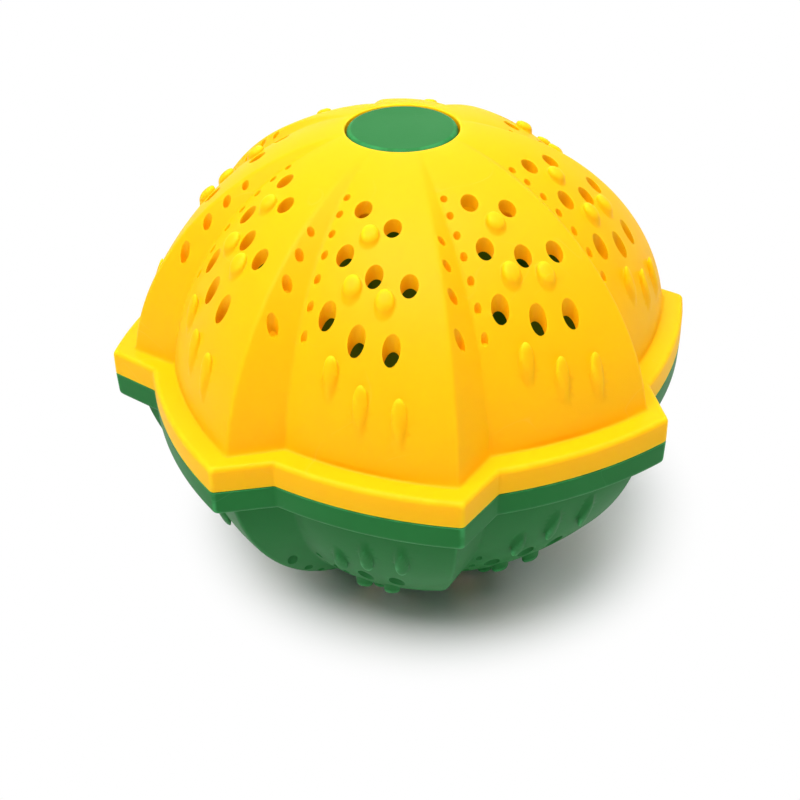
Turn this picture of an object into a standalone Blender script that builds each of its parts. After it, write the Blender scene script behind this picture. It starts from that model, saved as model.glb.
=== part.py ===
"""An anti-tangle laundry ball: two moulded half shells with eight overlapping petals each, closed at a
saw-toothed rim, with a magnet under a push-in cap at either pole and loose ceramic beads inside.

Metres, +Z up. The origin is under the middle of the lower cap, on the face the ball stands on.
Every half is modelled pole up with its seam at z = 0, and then set on the seam plane.
"""

import math
import random

import bmesh
import bpy
from mathutils import Vector
from mathutils.bvhtree import BVHTree

MM = 0.001

# Overall form
HALF_HEIGHT = 41.9 * MM  # seam plane to the face of a cap
PETALS = 8
RIM_CORNER_RADIUS = 52.0 * MM
RIM_NOTCH_RADIUS = 45.7 * MM
RIM_STEP_TURN = math.radians(8.8)  # from a corner of the rim on to the next notch
RIM_THICKNESS = 4.6 * MM
RIM_EDGE_ROUND = 0.9 * MM
RIM_LEDGE = 3.7 * MM  # how far the rim stands out of the dome
SEAM_GAP = 0.3 * MM

# Petals
WALL = 1.9 * MM
PETAL_SAG = 0.9 * MM  # a petal's middle lies this far inside an even ramp at the seam
PETAL_PUFF = 0.6 * MM  # and this far outside one at the crown
PETAL_SWEEP = math.radians(2.1)  # ridge and valley close on each other by this much towards the crown
PROFILE_POWER = 1.86  # of the height in the dome's profile, where 2 makes an ellipse

# Tongue on the lower rim, groove in the upper one
TONGUE_WIDTH = 1.6 * MM
TONGUE_HEIGHT = 2.0 * MM
FIT = 0.3 * MM  # clearance between pieces that seat in each other

# Poles
CAP_RADIUS = 9.15 * MM
CAP_PROUD = 0.1 * MM
CAP_EDGE_ROUND = 0.5 * MM
CAP_FACE_THICKNESS = 1.2 * MM
CAP_SKIRT_DEPTH = 2.4 * MM
CAP_SKIRT_WALL = 1.2 * MM
CROWN_LAND = 0.45 * MM  # flat ring of the shell round the cap
MAGNET_RADIUS = 7.0 * MM
MAGNET_THICKNESS = 3.0 * MM
MAGNET_EDGE = 0.3 * MM
BOSS_WALL = 1.6 * MM

# Pattern of one petal, as (place across from valley 0 to ridge 1, share of the crown's height)
HOLE_RADIUS = 1.4 * MM
HOLE_PLACES = (
    ((0.305, 0.896), (0.632, 0.866)),
    ((0.245, 0.784), (0.513, 0.748), (0.771, 0.734)),
    ((0.204, 0.616), (0.433, 0.567), (0.657, 0.557)),
)
NUB_RADIUS = 1.55 * MM
NUB_RISE = 1.2 * MM  # middle of a nub's face over the petal
NUB_SLANT = 0.25  # fall of its face for each length outwards
NUB_PLACES = ((0.432, 0.838), (0.358, 0.703), (0.604, 0.679))
DROP_RADIUS = 1.2 * MM
DROP_RISE = 0.9 * MM
DROP_SLANT = 2.7
DROP_PLACES = ((0.285, 0.448), (0.485, 0.369), (0.705, 0.346))
PIN_ROUND = 0.4 * MM  # height over which a nub or a drop is drawn in under its face
PIN_FACE_SHARE = 0.75  # and the share of its radius that is left there

# Ceramic beads
BEAD_RADIUS = 3.25 * MM
BEADS_OF_A_KIND = 8
HEAP_REACH = 32.0 * MM  # beads are tried out to this distance from the axis
HEAP_SPOTS = 1500
FALL_STEPS = 60
MIX_SEED = 4  # for the order of the four kinds in the heap
GOLDEN_TURN = math.pi * (3 - math.sqrt(5))

# Fineness of the meshes
PETAL_CUTS = 3
DOME_RINGS = 7
CAVITY_RINGS = 6
HOLE_SIDES = 7
PIN_SIDES = 6
TURNED_STEPS = 24
EDGE_CUTS = 2
BEAD_SEGMENTS = 8
BEAD_RINGS = 4
SMOOTH_ANGLE = math.radians(40)  # edges that bend more than this stay sharp
MERGE = 0.01 * MM

CROWN_HEIGHT = HALF_HEIGHT - CAP_PROUD
RECESS_RADIUS = CAP_RADIUS + FIT
CROWN_RADIUS = RECESS_RADIUS + CROWN_LAND
RIDGE_RADIUS = RIM_CORNER_RADIUS - RIM_LEDGE
VALLEY_RADIUS = RIM_NOTCH_RADIUS - RIM_LEDGE
PITCH = math.tau / PETALS
FACE = SEAM_GAP / 2  # height of each rim's face over the seam plane
OVERRUN = 1.0 * MM  # how far a cutter runs past what it cuts

# Finishes
YELLOW = (1.0, 0.58, 0.01)
GREEN = (0.03, 0.21, 0.07)
PLASTIC_ROUGHNESS = 0.35
FERRITE = (0.05, 0.05, 0.055)
FERRITE_ROUGHNESS = 0.6
FERRITE_METALLIC = 0.3
CERAMIC_ROUGHNESS = 0.7
BEAD_KINDS = {
    "white": (0.80, 0.78, 0.74),
    "grey": (0.19, 0.19, 0.20),
    "terracotta": (0.42, 0.14, 0.06),
    "brown": (0.10, 0.05, 0.03),
}


def material(name, colour, roughness, metallic=0.0):
    made = bpy.data.materials.new(name)
    made.use_nodes = True
    shader = made.node_tree.nodes["Principled BSDF"]
    shader.inputs["Base Color"].default_value = (*colour, 1.0)
    shader.inputs["Roughness"].default_value = roughness
    shader.inputs["Metallic"].default_value = metallic
    return made


def collection(name):
    made = bpy.data.collections.new(name)
    bpy.context.scene.collection.children.link(made)
    return made


def add_object(name, mesh, holder, finish=None):
    made = bpy.data.objects.new(name, mesh)
    holder.objects.link(made)
    if finish:
        mesh.materials.append(finish)
    return made


def mesh_from(name, bm):
    bmesh.ops.recalc_face_normals(bm, faces=bm.faces)
    mesh = bpy.data.meshes.new(name)
    bm.to_mesh(mesh)
    bm.free()
    return mesh


def add_cutter(name, bm):
    made = add_object(name, mesh_from(name, bm), cutters)
    made.hide_render = True
    made.display_type = "WIRE"
    return made


def combine(obj, operation, other):
    modifier = obj.modifiers.new(f"{operation.lower()} {other.name}", "BOOLEAN")
    modifier.operation = operation
    modifier.object = other


def smooth_by_angle():
    """A modifier's node group that shades faces smooth and leaves the strongly bent edges sharp."""
    group = bpy.data.node_groups.new("smooth by angle", "GeometryNodeTree")
    for way in ("INPUT", "OUTPUT"):
        group.interface.new_socket("Geometry", in_out=way, socket_type="NodeSocketGeometry")
    start = group.nodes.new("NodeGroupInput")
    bend = group.nodes.new("GeometryNodeInputMeshEdgeAngle")
    gentle = group.nodes.new("ShaderNodeMath")
    gentle.operation = "LESS_THAN"
    gentle.inputs[1].default_value = SMOOTH_ANGLE
    edges = group.nodes.new("GeometryNodeSetShadeSmooth")
    edges.domain = "EDGE"
    faces = group.nodes.new("GeometryNodeSetShadeSmooth")
    end = group.nodes.new("NodeGroupOutput")
    group.links.new(bend.outputs["Unsigned Angle"], gentle.inputs[0])
    group.links.new(gentle.outputs[0], edges.inputs["Shade Smooth"])
    group.links.new(start.outputs[0], edges.inputs["Geometry"])
    group.links.new(edges.outputs[0], faces.inputs["Geometry"])
    group.links.new(faces.outputs[0], end.inputs[0])
    return group


def shade(obj):
    modifier = obj.modifiers.new("smooth by angle", "NODES")
    modifier.node_group = smoothing


def profile_radius(foot, height):
    """Radius at a height of the rounded profile that starts at foot and ends on the crown's ring."""
    top = CROWN_HEIGHT / (1 - (CROWN_RADIUS / foot) ** 2) ** (1 / PROFILE_POWER)
    return foot * math.sqrt(max(0.0, 1 - (height / top) ** PROFILE_POWER))


def across(valley, ridge, place, height):
    """Radius of a petal that ramps from the valley's to the ridge's, sagging low down and puffed high up."""
    share = height / CROWN_HEIGHT
    bow = PETAL_PUFF * share - PETAL_SAG * (1 - share)
    return valley + (ridge - valley) * place + bow * 4 * place * (1 - place)


def petal_point(petal, place, height):
    """A point of the dome's outer face, with its petal, its place across and its height over the seam."""
    valley = profile_radius(VALLEY_RADIUS, height)
    ridge = profile_radius(RIDGE_RADIUS, height)
    closing = PETAL_SWEEP * (RIDGE_RADIUS - ridge) / (RIDGE_RADIUS - CROWN_RADIUS)
    start = (petal - 1) * PITCH + RIM_STEP_TURN - closing
    end = petal * PITCH + closing
    angle = start + (end - start) * place
    radius = across(valley, ridge, place, height)
    return Vector((radius * math.cos(angle), radius * math.sin(angle), height))


def dome_ring(height):
    return [
        petal_point(petal, cut / PETAL_CUTS, height)
        for petal in range(PETALS)
        for cut in range(PETAL_CUTS + 1)
    ]


def rim_ring(height, outwards):
    """The rim's saw-toothed outline, grown outwards from the dome's foot by the given amount."""
    ring = []
    for point in dome_ring(0.0):
        radius = math.hypot(point.x, point.y)
        ring.append(Vector((point.x, point.y, 0.0)) * (1 + outwards / radius) + Vector((0, 0, height)))
    return ring


def loft(rings, bm):
    """A closed skin over rings of equal count, from the lowest to the highest."""
    loops = [[bm.verts.new(point) for point in ring] for ring in rings]
    for low, high in zip(loops, loops[1:]):
        for i, corner in enumerate(low):
            j = (i + 1) % len(low)
            bm.faces.new((corner, low[j], high[j], high[i]))
    bm.faces.new(list(reversed(loops[0])))
    bm.faces.new(loops[-1])
    return loops


def ring_heights(count):
    """Heights from the seam to the crown, crowding towards the crown, where the dome turns over."""
    for step in range(count + 1):
        yield CROWN_HEIGHT * math.sin(math.pi / 2 * step / count)


def inwards(point):
    """The point one wall nearer to the ball's centre."""
    return point * (1 - WALL / point.length)


def pin(bm, root, levels, sides, slant=0.0):
    """An upright pin over root's x and y, through levels of (height, radius) listed upwards.

    Its levels fall by the slant for each length outwards from the ball's axis.
    """
    facing = math.atan2(root.y, root.x)
    rings = []
    for height, radius in levels:
        ring = []
        for side in range(sides):
            turn = math.tau * side / sides
            fall = slant * radius * math.cos(turn)
            across_ring = Vector((math.cos(turn + facing), math.sin(turn + facing), 0.0)) * radius
            ring.append(Vector((root.x, root.y, height - fall)) + across_ring)
        rings.append(ring)
    loft(rings, bm)


def turned(name, profile, holder, finish=None):
    """A piece turned about Z from a profile of (radius, height), listed down its outer side."""
    mesh = bpy.data.meshes.new(name)
    points = [(radius, 0.0, height) for radius, height in profile]
    mesh.from_pydata(points, [(i, i + 1) for i in range(len(points) - 1)], [])
    made = add_object(name, mesh, holder, finish)
    screw = made.modifiers.new("turn", "SCREW")
    screw.angle = math.tau
    screw.steps = screw.render_steps = TURNED_STEPS
    screw.use_merge_vertices = True
    screw.merge_threshold = MERGE
    return made


def turned_cutter(name, profile):
    made = turned(name, profile, cutters)
    made.hide_render = True
    made.display_type = "WIRE"
    return made


def rounded(radius, height, edge):
    """Points of a quarter round from a flat top at this height down to a side at this radius."""
    for cut in range(EDGE_CUTS + 1):
        angle = math.pi / 2 * cut / EDGE_CUTS
        yield (radius - edge + edge * math.sin(angle), height - edge + edge * math.cos(angle))


def dome_body():
    """The dome, from half way up the rim to the crown."""
    bm = bmesh.new()
    heights = [RIM_THICKNESS / 2, *list(ring_heights(DOME_RINGS))[1:]]
    loft([dome_ring(height) for height in heights], bm)
    return bm


def rim_body():
    bm = bmesh.new()
    loops = loft([rim_ring(FACE, RIM_LEDGE), rim_ring(RIM_THICKNESS, RIM_LEDGE)], bm)
    upper = set(loops[1])
    edges = [edge for edge in bm.edges if upper.issuperset(edge.verts)]
    bmesh.ops.bevel(bm, geom=edges, offset=RIM_EDGE_ROUND, segments=EDGE_CUTS, profile=0.5, affect="EDGES")
    return bm


def cavity_body():
    bm = bmesh.new()
    rings = [[inwards(point) for point in dome_ring(height)] for height in ring_heights(CAVITY_RINGS)]
    below = [point - Vector((0, 0, OVERRUN)) for point in rings[0]]
    loft([below] + rings, bm)
    return bm


def raised_pins():
    bm = bmesh.new()
    for petal in range(PETALS):
        for places, radius, rise, slant in (
            (NUB_PLACES, NUB_RADIUS, NUB_RISE, NUB_SLANT),
            (DROP_PLACES, DROP_RADIUS, DROP_RISE, DROP_SLANT),
        ):
            for place, share in places:
                root = petal_point(petal, place, share * CROWN_HEIGHT)
                reach = radius * root.length / root.z
                foot = max(root.z - reach - WALL / 2, RIM_THICKNESS / 2 + slant * radius)
                top = root.z + rise
                levels = ((foot, radius), (top - PIN_ROUND, radius), (top, radius * PIN_FACE_SHARE))
                pin(bm, root, levels, PIN_SIDES, slant)
    return bm


def hole_pins():
    bm = bmesh.new()
    for petal in range(PETALS):
        for row in HOLE_PLACES:
            for place, share in row:
                root = petal_point(petal, place, share * CROWN_HEIGHT)
                reach = (HOLE_RADIUS + WALL) * root.length / root.z + OVERRUN
                pin(bm, root, ((root.z - reach, HOLE_RADIUS), (root.z + reach, HOLE_RADIUS)), HOLE_SIDES)
    return bm


def lip_ring(half_width, low, high):
    """An upright ring along the middle of the rim's land, with a band on either side of its line."""
    middle = (RIM_LEDGE - WALL) / 2
    bm = bmesh.new()
    loops = []
    for height, offset in ((low, half_width), (high, half_width), (high, -half_width), (low, -half_width)):
        loops.append([bm.verts.new(point) for point in rim_ring(height, middle + offset)])
    for first, second in zip(loops, loops[1:] + loops[:1]):
        for i, corner in enumerate(first):
            j = (i + 1) % len(first)
            bm.faces.new((corner, first[j], second[j], second[i]))
    return bm


# Levels at a pole, all measured up from the seam
CAP_UNDERSIDE = HALF_HEIGHT - CAP_FACE_THICKNESS
SKIRT_FOOT = HALF_HEIGHT - CAP_SKIRT_DEPTH
SHOULDER = SKIRT_FOOT - FIT
MAGNET_TOP = CAP_UNDERSIDE - FIT
MAGNET_FOOT = MAGNET_TOP - MAGNET_THICKNESS
POCKET_FLOOR = MAGNET_FOOT - FIT
POCKET_RADIUS = MAGNET_RADIUS + FIT
BOSS_RADIUS = RECESS_RADIUS + BOSS_WALL
BOSS_FOOT = POCKET_FLOOR - WALL
BOSS_TOP = CROWN_HEIGHT - WALL / 2


def cap_profile():
    inner = CAP_RADIUS - CAP_SKIRT_WALL
    return [
        (0.0, HALF_HEIGHT),
        *rounded(CAP_RADIUS, HALF_HEIGHT, CAP_EDGE_ROUND),
        (CAP_RADIUS, SKIRT_FOOT),
        (inner, SKIRT_FOOT),
        (inner, CAP_UNDERSIDE),
        (0.0, CAP_UNDERSIDE),
    ]


def magnet_profile():
    return [
        (0.0, MAGNET_TOP),
        (MAGNET_RADIUS - MAGNET_EDGE, MAGNET_TOP),
        (MAGNET_RADIUS, MAGNET_TOP - MAGNET_EDGE),
        (MAGNET_RADIUS, MAGNET_FOOT + MAGNET_EDGE),
        (MAGNET_RADIUS - MAGNET_EDGE, MAGNET_FOOT),
        (0.0, MAGNET_FOOT),
    ]


def pocket_profile():
    return [
        (0.0, HALF_HEIGHT + OVERRUN),
        (RECESS_RADIUS, HALF_HEIGHT + OVERRUN),
        (RECESS_RADIUS, SHOULDER),
        (POCKET_RADIUS, SHOULDER),
        (POCKET_RADIUS, POCKET_FLOOR),
        (0.0, POCKET_FLOOR),
    ]


def boss_profile():
    return [(0.0, BOSS_TOP), (BOSS_RADIUS, BOSS_TOP), (BOSS_RADIUS, BOSS_FOOT), (0.0, BOSS_FOOT)]


def half(prefix, finish, cap_finish, magnet_finish, mirrored, with_tongue):
    """One half, modelled pole up on an empty at the seam. The mirrored one hangs pole down."""
    holder = bpy.data.objects.new(f"{prefix}_half", None)
    pieces.objects.link(holder)
    holder.location.z = HALF_HEIGHT
    holder.scale.z = -1 if mirrored else 1

    rim = add_cutter(f"{prefix}_rim", rim_body())
    pins = add_cutter(f"{prefix}_pins", raised_pins())
    cavity = add_cutter(f"{prefix}_cavity", cavity_body())
    boss = turned_cutter(f"{prefix}_boss", boss_profile())
    if with_tongue:
        band = lip_ring(TONGUE_WIDTH / 2, FACE - TONGUE_HEIGHT, FACE + OVERRUN)
    else:
        band = lip_ring(TONGUE_WIDTH / 2 + FIT, FACE - OVERRUN, TONGUE_HEIGHT - FACE + FIT)
    seam = add_cutter(f"{prefix}_seam", band)
    holes = add_cutter(f"{prefix}_holes", hole_pins())
    pocket = turned_cutter(f"{prefix}_pocket", pocket_profile())

    shell = add_object(f"{prefix}_shell", mesh_from(f"{prefix}_shell", dome_body()), pieces, finish)
    combine(shell, "UNION", rim)
    combine(shell, "UNION", pins)
    combine(shell, "DIFFERENCE", cavity)
    combine(shell, "UNION", boss)
    combine(shell, "UNION" if with_tongue else "DIFFERENCE", seam)
    combine(shell, "DIFFERENCE", holes)
    combine(shell, "DIFFERENCE", pocket)
    cap = turned(f"{prefix}_cap", cap_profile(), pieces, cap_finish)
    magnet = turned(f"{prefix}_magnet", magnet_profile(), pieces, magnet_finish)

    for obj in (rim, pins, cavity, boss, seam, holes, pocket):
        obj.parent = holder
    for obj in (shell, cap, magnet):
        obj.parent = holder
        shade(obj)
    return shell


def resting_heights(shell, spots):
    """Height of a bead's centre when it comes down onto the shell at each (x, y), in world space."""
    bpy.context.view_layer.update()
    tree = BVHTree.FromObject(shell, bpy.context.evaluated_depsgraph_get())
    to_local = shell.matrix_world.inverted()
    heights = []
    for x, y in spots:
        height = HALF_HEIGHT
        for _ in range(FALL_STEPS):
            nearest = tree.find_nearest(to_local @ Vector((x, y, height)))
            height -= max(nearest[3] - BEAD_RADIUS - FIT, 0.0)
        heights.append(height)
    return heights


def settle(shell, count):
    """Centres of beads poured into the lower half, each one taking the lowest place that is left."""
    spots = []
    for i in range(HEAP_SPOTS):
        radius = HEAP_REACH * math.sqrt(i / HEAP_SPOTS)
        spots.append((radius * math.cos(i * GOLDEN_TURN), radius * math.sin(i * GOLDEN_TURN)))
    heights = resting_heights(shell, spots)
    between = 2 * BEAD_RADIUS + FIT
    centres = []
    for _ in range(count):
        low = min(range(len(spots)), key=heights.__getitem__)
        x, y = spots[low]
        centres.append(Vector((x, y, heights[low])))
        for i, (sx, sy) in enumerate(spots):
            apart = math.hypot(sx - x, sy - y)
            if apart < between:
                on_top = heights[low] + math.sqrt(between**2 - apart**2)
                heights[i] = max(heights[i], on_top)
    return centres


def beads(shell):
    bm = bmesh.new()
    bmesh.ops.create_uvsphere(bm, u_segments=BEAD_SEGMENTS, v_segments=BEAD_RINGS, radius=BEAD_RADIUS)
    ball = mesh_from("bead", bm)
    heap = bpy.data.objects.new("bead_heap", None)
    pieces.objects.link(heap)
    names = [f"{kind}_{i:02}" for kind in BEAD_KINDS for i in range(1, BEADS_OF_A_KIND + 1)]
    random.Random(MIX_SEED).shuffle(names)
    for name, centre in zip(names, settle(shell, len(names))):
        kind = name.split("_")[0]
        bead = add_object(f"bead_{name}", ball.copy(), pieces, bead_finish[kind])
        bead.location = centre
        bead.parent = heap
        shade(bead)


for old in list(bpy.data.objects):
    bpy.data.objects.remove(old)

pieces = collection("laundry_ball")
cutters = collection("cutters")
yellow = material("yellow_plastic", YELLOW, PLASTIC_ROUGHNESS)
green = material("green_plastic", GREEN, PLASTIC_ROUGHNESS)
ferrite = material("ferrite", FERRITE, FERRITE_ROUGHNESS, FERRITE_METALLIC)
bead_finish = {
    kind: material(f"{kind}_ceramic", colour, CERAMIC_ROUGHNESS)
    for kind, colour in BEAD_KINDS.items()
}
smoothing = smooth_by_angle()

half("upper", yellow, green, ferrite, mirrored=False, with_tongue=False)
lower_shell = half("lower", green, yellow, ferrite, mirrored=True, with_tongue=True)
beads(lower_shell)
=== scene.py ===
import bisect
import math

import bmesh
import bpy
import numpy as np
from mathutils import Matrix, Vector
from mathutils.geometry import delaunay_2d_cdt


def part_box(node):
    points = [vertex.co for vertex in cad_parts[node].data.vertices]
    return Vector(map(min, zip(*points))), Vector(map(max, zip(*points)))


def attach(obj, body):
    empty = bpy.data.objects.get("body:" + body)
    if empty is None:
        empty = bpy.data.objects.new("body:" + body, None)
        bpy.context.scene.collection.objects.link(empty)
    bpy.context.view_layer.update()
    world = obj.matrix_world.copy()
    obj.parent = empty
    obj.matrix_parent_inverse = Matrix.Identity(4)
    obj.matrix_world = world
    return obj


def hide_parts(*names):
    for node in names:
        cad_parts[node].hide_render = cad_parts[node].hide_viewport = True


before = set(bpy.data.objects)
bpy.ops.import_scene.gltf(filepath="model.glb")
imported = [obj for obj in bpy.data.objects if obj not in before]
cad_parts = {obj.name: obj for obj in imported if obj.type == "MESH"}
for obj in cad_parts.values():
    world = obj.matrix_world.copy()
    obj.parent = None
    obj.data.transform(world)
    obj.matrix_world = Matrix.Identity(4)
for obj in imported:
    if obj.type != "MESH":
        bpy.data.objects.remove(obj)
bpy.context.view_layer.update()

mm = 0.001
scene = bpy.context.scene
seamHeight = 41.9  # mm over the floor; every half is worked pole up from its seam, in mm

def newObject(name, data):
    made = bpy.data.objects.new(name, data)
    scene.collection.objects.link(made)
    return made

def link(tree, source, target):
    tree.links.new(source, target)

def put(tree, kind, settings=None, **inputs):
    # a node with its settings; each input is a value or a socket, under its label or as i0, i1 and so on
    made = tree.nodes.new(kind)
    for key, value in (settings or {}).items():
        setattr(made, key, value)
    for key, value in inputs.items():
        socket = made.inputs[int(key[1:]) if key[1:].isdigit() else key.replace("_", " ")]
        if isinstance(value, bpy.types.NodeSocket):
            link(tree, value, socket)
        else:
            socket.default_value = value
    return made

def newTree(name, kind, inputs, outputs):
    # a node group, what it is given and what it gives; some inputs have a value too
    tree = bpy.data.node_groups.new(name, kind)
    for label, socketKind, *value in inputs:
        socket = tree.interface.new_socket(label, in_out="INPUT", socket_type=f"NodeSocket{socketKind}")
        if value:
            socket.default_value = value[0]
    for label, socketKind in outputs:
        tree.interface.new_socket(label, in_out="OUTPUT", socket_type=f"NodeSocket{socketKind}")
    return tree, put(tree, "NodeGroupInput").outputs, put(tree, "NodeGroupOutput").inputs

# One petal of the dome, which the mould repeats round the axis
dome = {
    "petals": 8,
    "crownHeight": 41.8,
    "crownRadius": 9.9,
    "profilePower": 1.86,
    "ridgeFoot": 48.3,
    "valleyFoot": 42.0,
    "stepTurn": math.radians(8.8),
    "sweep": math.radians(2.1),
    "sag": 0.9,
    "puff": 0.6,
    "wall": 1.9,
    "ridgeRound": 0.5,
    "valleyRound": 0.35,
    "ridgeShare": 0.3,  # the most of a step's width that a rounding or a holding line may take
    "valleyShare": 0.25,
    "holdShare": 0.1,
    "holdBack": 0.25,
    "tileStart": 0.9,  # the tile is cut along a petal here, where nothing stands
    "rows": 66,
    "lowRows": (0.15, 1.8, 3.4),
    "footHeight": 5.1,
    "crownSpread": 0.9,  # keeps the rows apart at the crown
    "tailCuts": 4,
    "ridgeCuts": 4,
    "stepCuts": 7,
    "valleyCuts": 3,
    "petalCuts": 30,
}
pitch = math.tau / dome["petals"]

def profileRadius(foot, height):
    power = dome["profilePower"]
    top = dome["crownHeight"] / (1 - (dome["crownRadius"] / foot) ** 2) ** (1 / power)
    return foot * math.sqrt(max(0.0, 1 - (height / top) ** power))

def petalSpot(height, place, turn):
    # the plan's point at a share of the way across a petal, some petals on
    valley = profileRadius(dome["valleyFoot"], height)
    ridge = profileRadius(dome["ridgeFoot"], height)
    closing = dome["sweep"] * (dome["ridgeFoot"] - ridge) / (dome["ridgeFoot"] - dome["crownRadius"])
    start = dome["stepTurn"] - closing
    end = pitch + closing
    share = height / dome["crownHeight"]
    bow = dome["puff"] * share - dome["sag"] * (1 - share)
    radius = valley + (ridge - valley) * place + bow * 4 * place * (1 - place)
    angle = start + (end - start) * place + turn * pitch
    return Vector((radius * math.cos(angle), radius * math.sin(angle)))

def evenly(low, high, cuts):
    return [low + (high - low) * i / cuts for i in range(cuts + 1)]

def arc(first, corner, last, cuts):
    # the points between first and last of a curve that rounds the corner
    for i in range(1, cuts):
        t = i / cuts
        yield first * (1 - t) ** 2 + corner * 2 * t * (1 - t) + last * t ** 2

def tileRow(height):
    # across a tile: the end of one petal, the step down from its ridge, and most of the next petal
    corner = petalSpot(height, 1, -1)
    notch = petalSpot(height, 0, 0)
    petalLength = (petalSpot(height, 1, 0) - notch).length
    step = notch - corner
    ridgeRound = min(dome["ridgeRound"], dome["ridgeShare"] * step.length)
    valleyRound = min(dome["valleyRound"], dome["valleyShare"] * step.length)
    hold = min(dome["holdBack"], dome["holdShare"] * step.length)
    start = dome["tileStart"]
    lastPlace = 1 - ridgeRound / petalLength
    firstPlace = valleyRound / petalLength
    holdPlace = hold / petalLength
    row = [petalSpot(height, p, -1) for p in evenly(start, lastPlace - holdPlace, dome["tailCuts"])]
    row.append(petalSpot(height, lastPlace, -1))
    afterRidge = corner + step * (ridgeRound / step.length)
    beforeNotch = notch - step * (valleyRound / step.length)
    row.extend(arc(row[-1], corner, afterRidge, dome["ridgeCuts"]))
    row.append(afterRidge)
    along = step.normalized() * hold
    span = beforeNotch - along * 2 - afterRidge
    row.extend(afterRidge + along + span * t for t in evenly(0, 1, dome["stepCuts"]))
    row.append(beforeNotch)
    afterNotch = petalSpot(height, firstPlace, 0)
    row.extend(arc(beforeNotch, notch, afterNotch, dome["valleyCuts"]))
    row.append(afterNotch)
    row.extend(petalSpot(height, p, 0) for p in evenly(firstPlace + holdPlace, start, dome["petalCuts"]))
    return [Vector((p.x, p.y, height)) for p in row]

def rowHeights():
    top = dome["crownHeight"] + dome["crownSpread"]
    low = math.asin(dome["footHeight"] / top)
    high = math.asin(dome["crownHeight"] / top)
    return [top * math.sin(t) for t in evenly(low, high, dome["rows"])]

def sheetOf(grid):
    # flattened places beside the grid, so that the pattern's rings can be meshed in the plane
    middle = len(grid[0]) * 2 // 3
    flat = []
    climb = 0.0
    for j, row in enumerate(grid):
        if j:
            climb += (row[middle] - grid[j - 1][middle]).length
        run = [0.0]
        for a, b in zip(row, row[1:]):
            run.append(run[-1] + (b - a).length)
        flat.append([Vector((x - run[-1] / 2, climb)) for x in run])
    return {
        "grid": grid,
        "flat": flat,
        "angles": [[math.atan2(p.y, p.x) for p in row] for row in grid],
        "radii": [[math.hypot(p.x, p.y) for p in row] for row in grid],
    }

def acrossRow(sheet, j, angle):
    # the column before an angle in a row, the share of the way to the next one, and the radius there
    angles = sheet["angles"][j]
    c = min(max(bisect.bisect_right(angles, angle) - 1, 0), len(angles) - 2)
    part = (angle - angles[c]) / (angles[c + 1] - angles[c])
    radii = sheet["radii"][j]
    return c, part, radii[c] + (radii[c + 1] - radii[c]) * part

def landOn(sheet, x, y):
    # flattened place and height of the sheet under a point of the plan
    angle, radius = math.atan2(y, x), math.hypot(x, y)
    grid, flat = sheet["grid"], sheet["flat"]
    low, high = 0, len(grid) - 1
    while high - low > 1:
        middle = (low + high) // 2
        if acrossRow(sheet, middle, angle)[2] >= radius:
            low = middle
        else:
            high = middle
    found = []
    for j in (low, high):
        c, part, out = acrossRow(sheet, j, angle)
        z = grid[j][c].z + (grid[j][c + 1].z - grid[j][c].z) * part
        found.append((out, flat[j][c].lerp(flat[j][c + 1], part), z))
    (rLow, flatLow, zLow), (rHigh, flatHigh, zHigh) = found
    rise = min(max((rLow - radius) / (rLow - rHigh), 0.0), 1.0)
    return flatLow.lerp(flatHigh, rise), zLow + (zHigh - zLow) * rise

# What stands on a petal and is cut into it, along the mould's axis. Places are shares across the
# petal and of the crown's height
pattern = {
    "holes": {
        "radius": 1.4,
        "places": (
            (0.305, 0.896), (0.632, 0.866), (0.245, 0.784), (0.513, 0.748), (0.771, 0.734),
            (0.204, 0.616), (0.433, 0.567), (0.657, 0.557),
        ),
        "sides": 26,
        "collar": 0.35,
        "innerCollar": 0.8,
    },
    "nubs": {
        "radius": 1.43,
        "places": ((0.432, 0.839), (0.358, 0.703), (0.604, 0.680)),
        "slant": 0.65,  # of its face, as a share of the petal's own fall
        "rise": 1.0,  # of its face, over the petal at the inner edge
        "level": 1,
        "edge": 0.95,
        "flat": 0.4,  # share of its face before the edge's rounding
        "head": 1.0,
        "tail": 1.0,
        "pinch": 0.0,
        "sides": 26,
    },
    "drops": {
        "radius": 1.2,
        "places": ((0.285, 0.437), (0.485, 0.358), (0.705, 0.335)),
        "slant": 0.92,
        "rise": 2.4,  # over the petal at its middle
        "level": 0,
        "edge": 1.6,
        "flat": 0.15,
        "head": 0.82,
        "tail": 1.2,
        "pinch": 0.2,
        "sides": 26,
    },
    "dimples": {
        "radius": 0.575,
        "depth": 1.0,
        "place": 0.055,
        "heights": (38.0, 36.4, 34.4, 32.1, 29.35, 26.05, 22.15),
        "sides": 14,
    },
    "recesses": {
        "angle": math.radians(3.3),
        "spots": ((26.25, 0.6, 1.1), (29.5, 0.7, 1.4), (33.0, 0.8, 1.8), (37.25, 0.9, 2.2)),  # out, radius, depth
        "sides": 16,
    },
}
pinRings = {
    "reach": 0.5,  # the petal's fall is taken this far in and out of the middle
    "faceShares": (0.4, 0.7, 0.8, 0.88, 0.94, 0.98),
    "crowning": 0.1,
    "blend": 0.25,
    "foot": (0.05, 0.16),  # added to the radius, in space and flattened
    "skirt": (0.4, 0.45),
}
cutRings = {
    "floor": (0.7, 0.5),  # of the radius, in space and flattened
    "wall": (0.94, 0.8),
    "skirt": 0.25,
    "leastDepth": 0.25,
}
meshing = {
    "crowding": 0.25,  # loose points nearer than this to a ring's points are left out
    "clearance": 0.15,
    "outerSpacing": 0.35,  # from a feature to the grid's next points
    "innerSpacing": 0.6,
    "boxMargin": 1,
    "coarseStep": 3,
    "bossGap": 0.6,
}

def blendUp(a, b, width):
    # the higher of two heights, with a soft change between them
    near = max(width - abs(a - b), 0.0) / width
    return max(a, b) + near * near * width / 4

def circle(turn):
    return math.cos(turn), math.sin(turn)

def onPetal(z, along, share):
    return z

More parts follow.
